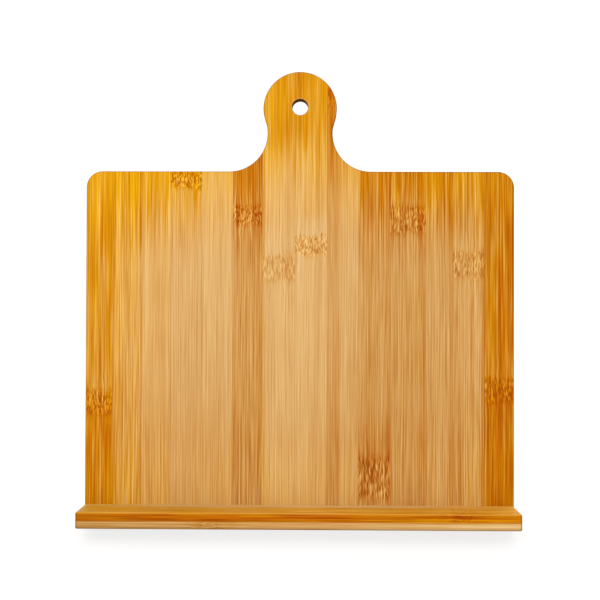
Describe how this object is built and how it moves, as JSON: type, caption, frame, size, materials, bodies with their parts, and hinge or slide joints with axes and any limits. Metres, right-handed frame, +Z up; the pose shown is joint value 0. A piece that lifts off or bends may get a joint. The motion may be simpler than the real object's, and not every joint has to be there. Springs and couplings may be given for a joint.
{
  "type": "book display stand",
  "caption": "Paddle-shaped laminated bamboo stand that leans back on a hinged rear leg, with a ledge in front for an open book.",
  "frame": {"origin": "middle of the narrow bevel at the foot of the board, on the table", "axes": "+X across the board to the reader's right, +Y away from the reader towards the leg, +Z up from the table"},
  "size_m": [0.32, 0.1603, 0.3178],
  "materials": {
    "bamboo_pale": "satin varnish over pale flat-grain bamboo",
    "bamboo_honey": "satin varnish over honey-coloured flat-grain bamboo",
    "bamboo_amber": "satin varnish over amber carbonised bamboo",
    "brass": "brushed, lightly lacquered",
    "zinc_plated_steel": "bright zinc plating"
  },
  "bodies": {
    "board": {"front_strip_01": "bamboo_amber", "front_strip_02": "bamboo_honey", "front_strip_03": "bamboo_honey", "front_strip_04": "bamboo_honey", "front_strip_05": "bamboo_pale", "front_strip_06": "bamboo_amber", "front_strip_07": "bamboo_pale", "front_strip_08": "bamboo_pale", "front_strip_09": "bamboo_pale", "front_strip_10": "bamboo_amber", "front_strip_11": "bamboo_amber", "front_strip_12": "bamboo_honey", "front_strip_13": "bamboo_honey", "front_strip_14": "bamboo_amber", "back_strip_01": "bamboo_honey", "back_strip_02": "bamboo_amber", "back_strip_03": "bamboo_pale", "back_strip_04": "bamboo_honey", "back_strip_05": "bamboo_honey", "back_strip_06": "bamboo_pale", "back_strip_07": "bamboo_amber", "back_strip_08": "bamboo_honey", "back_strip_09": "bamboo_pale", "back_strip_10": "bamboo_honey", "back_strip_11": "bamboo_amber", "back_strip_12": "bamboo_honey", "back_strip_13": "bamboo_pale", "back_strip_14": "bamboo_amber", "back_strip_15": "bamboo_honey", "ledge_upper_rear_strip": "bamboo_honey", "ledge_upper_front_strip": "bamboo_amber", "ledge_lower_rear_strip": "bamboo_pale", "ledge_lower_front_strip": "bamboo_pale", "lower_hinge_board_leaf": "brass", "lower_hinge_pin": "brass", "upper_hinge_board_leaf": "brass", "upper_hinge_pin": "brass", "ledge_screws": "zinc_plated_steel", "hinge_board_screws": "brass"},
    "leg": {"leg_left_strip_1": "bamboo_honey", "leg_left_strip_2": "bamboo_pale", "leg_left_strip_3": "bamboo_honey", "leg_left_strip_4": "bamboo_amber", "leg_left_strip_5": "bamboo_honey", "leg_right_strip_1": "bamboo_amber", "leg_right_strip_2": "bamboo_honey", "leg_right_strip_3": "bamboo_pale", "leg_right_strip_4": "bamboo_honey", "leg_right_strip_5": "bamboo_honey", "lower_hinge_leg_leaf": "brass", "upper_hinge_leg_leaf": "brass", "hinge_leg_screws": "brass"}
  },
  "joints": [
    {"name": "leg_swing", "type": "hinge", "parent": "board", "child": "leg", "pos_m": [0.00805, 0.04532, 0.11121], "axis": [0, -0.342, -0.9397], "range_deg": [0, 90]}
  ]
}
